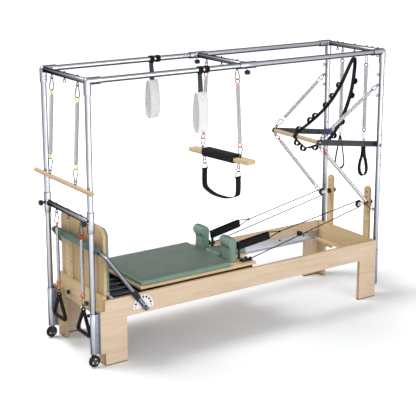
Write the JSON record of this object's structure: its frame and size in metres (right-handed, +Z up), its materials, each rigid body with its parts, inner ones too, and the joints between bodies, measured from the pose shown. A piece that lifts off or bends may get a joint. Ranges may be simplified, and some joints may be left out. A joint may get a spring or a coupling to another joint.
{
  "type": "pilates tower unit",
  "caption": "Pilates bed with a sliding carriage inside a tube tower, with jump board, footbar, trapeze, push-through bar, roll-down bar, springs, ropes and loops.",
  "frame": {"origin": "middle of the footprint on the floor, on the plane midway between the side panels", "axes": "+X along the bed from the foot end to the head end, +Y to the back side, +Z up"},
  "size_m": [2.5882, 0.82, 1.948],
  "materials": {
    "birch": "clear satin lacquer on light plywood",
    "vinyl": "sage green upholstery, matt",
    "steel_tube": "satin plated tube",
    "spring_steel": "bright spring wire",
    "track_aluminium": "satin anodised",
    "white_metal": "white powder coat",
    "black_metal": "black powder coat",
    "webbing": "black woven webbing",
    "fleece": "white fleece, matt",
    "black_plastic": "moulded, matt",
    "rubber": "matt"
  },
  "bodies": {
    "base": {"side_panel_front": "birch", "side_panel_back": "birch", "foot_end_frame": "birch", "head_end_frame": "birch", "track_frame": "track_aluminium", "foot_crossbar": "steel_tube", "head_crossbar": "steel_tube", "post_foot_front": "steel_tube", "post_head_front": "steel_tube", "top_rail_front": "steel_tube", "pulley_front": "black_plastic", "footbar_plate_front": "white_metal", "post_foot_back": "steel_tube", "post_head_back": "steel_tube", "top_rail_back": "steel_tube", "pulley_back": "black_plastic", "footbar_plate_back": "white_metal", "rope_front": "webbing", "rope_back": "webbing", "rope_handle_front": "webbing", "rope_handle_back": "webbing", "carriage_springs": "spring_steel", "push_upper_spring_front": "spring_steel", "push_upper_spring_back": "spring_steel", "push_lower_spring_front": "spring_steel", "push_lower_spring_back": "spring_steel", "loop_strap": "webbing"},
    "carriage": {"carriage_base": "birch", "carriage_pad": "vinyl"},
    "headrest": {"headrest": "vinyl"},
    "footbar": {"footbar": "steel_tube", "footbar_pad": "vinyl"},
    "jump_board": {"jump_board": "birch", "jump_pad": "vinyl"},
    "mid_crossbar": {"mid_crossbar": "steel_tube"},
    "trapeze": {"trapeze_spring_front": "spring_steel", "trapeze_spring_back": "spring_steel", "trapeze_bar": "birch", "trapeze_sling": "webbing"},
    "lower_crossbar": {"lower_crossbar": "steel_tube"},
    "roll_down": {"roll_spring_front": "spring_steel", "roll_spring_back": "spring_steel", "roll_down_bar": "birch"},
    "push_bar": {"push_arm_front": "black_metal", "push_arm_back": "black_metal", "push_dowel": "birch"},
    "shoulder_rest_front": {"shoulder_rest_front": "vinyl"},
    "wheel_front": {"wheel_front": "rubber"},
    "leg_hanger_front": {"leg_spring_front": "spring_steel", "leg_handle_front": "webbing"},
    "fleece_front": {"fleece_loop_front": "fleece"},
    "head_hanger_front": {"head_spring_front": "spring_steel", "head_loop_front": "webbing"},
    "shoulder_rest_back": {"shoulder_rest_back": "vinyl"},
    "wheel_back": {"wheel_back": "rubber"},
    "leg_hanger_back": {"leg_spring_back": "spring_steel", "leg_handle_back": "webbing"},
    "fleece_back": {"fleece_loop_back": "fleece"},
    "head_hanger_back": {"head_spring_back": "spring_steel", "head_loop_back": "webbing"}
  },
  "joints": [
    {"name": "carriage_slide", "type": "slide", "parent": "base", "child": "carriage", "axis": [1, 0, 0], "range_m": [0, 0.9], "stiffness_N_per_m": 300, "springref_m": -0.1, "deforming": ["rope_front", "rope_back", "rope_handle_front", "rope_handle_back", "carriage_springs"]},
    {"name": "headrest_tilt", "type": "hinge", "parent": "carriage", "child": "headrest", "pos_m": [-0.0807, 0, 0.5193], "axis": [0, -1, 0], "range_deg": [0, 25]},
    {"name": "footbar_tilt", "type": "hinge", "parent": "base", "child": "footbar", "pos_m": [-0.8682, 0, 0.372], "axis": [0, 1, 0], "range_deg": [-0.8, 0.8]},
    {"name": "jump_board_lift", "type": "slide", "parent": "base", "child": "jump_board", "axis": [0, 0, 1], "range_m": [0, 0.35]},
    {"name": "mid_crossbar_slide", "type": "slide", "parent": "base", "child": "mid_crossbar", "axis": [1, 0, 0], "range_m": [-0.2, 0.2]},
    {"name": "trapeze_swing", "type": "hinge", "parent": "mid_crossbar", "child": "trapeze", "pos_m": [0.0138, 0, 1.8835], "axis": [0, 1, 0], "range_deg": [-25, 25]},
    {"name": "lower_crossbar_lift", "type": "slide", "parent": "base", "child": "lower_crossbar", "axis": [0, 0, 1], "range_m": [-0.1, 0.12]},
    {"name": "roll_down_swing", "type": "hinge", "parent": "base", "child": "roll_down", "pos_m": [-1.2302, 0, 1.8835], "axis": [0, 1, 0], "range_deg": [0, 50]},
    {"name": "push_bar_swing", "type": "hinge", "parent": "base", "child": "push_bar", "pos_m": [1.2651, 0, 1.205], "axis": [0, 1, 0], "range_deg": [-36, 38], "stiffness_Nm_per_rad": 40, "springref_deg": 32.66, "deforming": ["push_upper_spring_front", "push_upper_spring_back", "push_lower_spring_front", "push_lower_spring_back", "loop_strap"]},
    {"name": "shoulder_rest_lift_front", "type": "slide", "parent": "carriage", "child": "shoulder_rest_front", "axis": [0, 0, 1], "range_m": [0, 0.12]},
    {"name": "wheel_spin_front", "type": "hinge", "parent": "base", "child": "wheel_front", "pos_m": [-1.2302, -0.317, 0.0407], "axis": [0, 1, 0], "continuous": true},
    {"name": "leg_swing_front", "type": "hinge", "parent": "lower_crossbar", "child": "leg_hanger_front", "pos_m": [-1.2302, -0.178, 0.9595], "axis": [0, 1, 0], "range_deg": [0, 60]},
    {"name": "fleece_swing_front", "type": "hinge", "parent": "base", "child": "fleece_front", "pos_m": [-0.3612, -0.312, 1.922], "axis": [1, 0, 0], "range_deg": [-30, 30]},
    {"name": "head_swing_front", "type": "hinge", "parent": "base", "child": "head_hanger_front", "pos_m": [1.2651, -0.138, 1.8835], "axis": [0, 1, 0], "range_deg": [-20, 20]},
    {"name": "shoulder_rest_lift_back", "type": "slide", "parent": "carriage", "child": "shoulder_rest_back", "axis": [0, 0, 1], "range_m": [0, 0.12]},
    {"name": "wheel_spin_back", "type": "hinge", "parent": "base", "child": "wheel_back", "pos_m": [-1.2302, 0.317, 0.0407], "axis": [0, 1, 0], "continuous": true},
    {"name": "leg_swing_back", "type": "hinge", "parent": "lower_crossbar", "child": "leg_hanger_back", "pos_m": [-1.2302, 0.178, 0.9595], "axis": [0, 1, 0], "range_deg": [0, 60]},
    {"name": "fleece_swing_back", "type": "hinge", "parent": "base", "child": "fleece_back", "pos_m": [-0.3612, 0.312, 1.922], "axis": [1, 0, 0], "range_deg": [-30, 30]},
    {"name": "head_swing_back", "type": "hinge", "parent": "base", "child": "head_hanger_back", "pos_m": [1.2651, 0.138, 1.8835], "axis": [0, 1, 0], "range_deg": [-20, 20]}
  ]
}
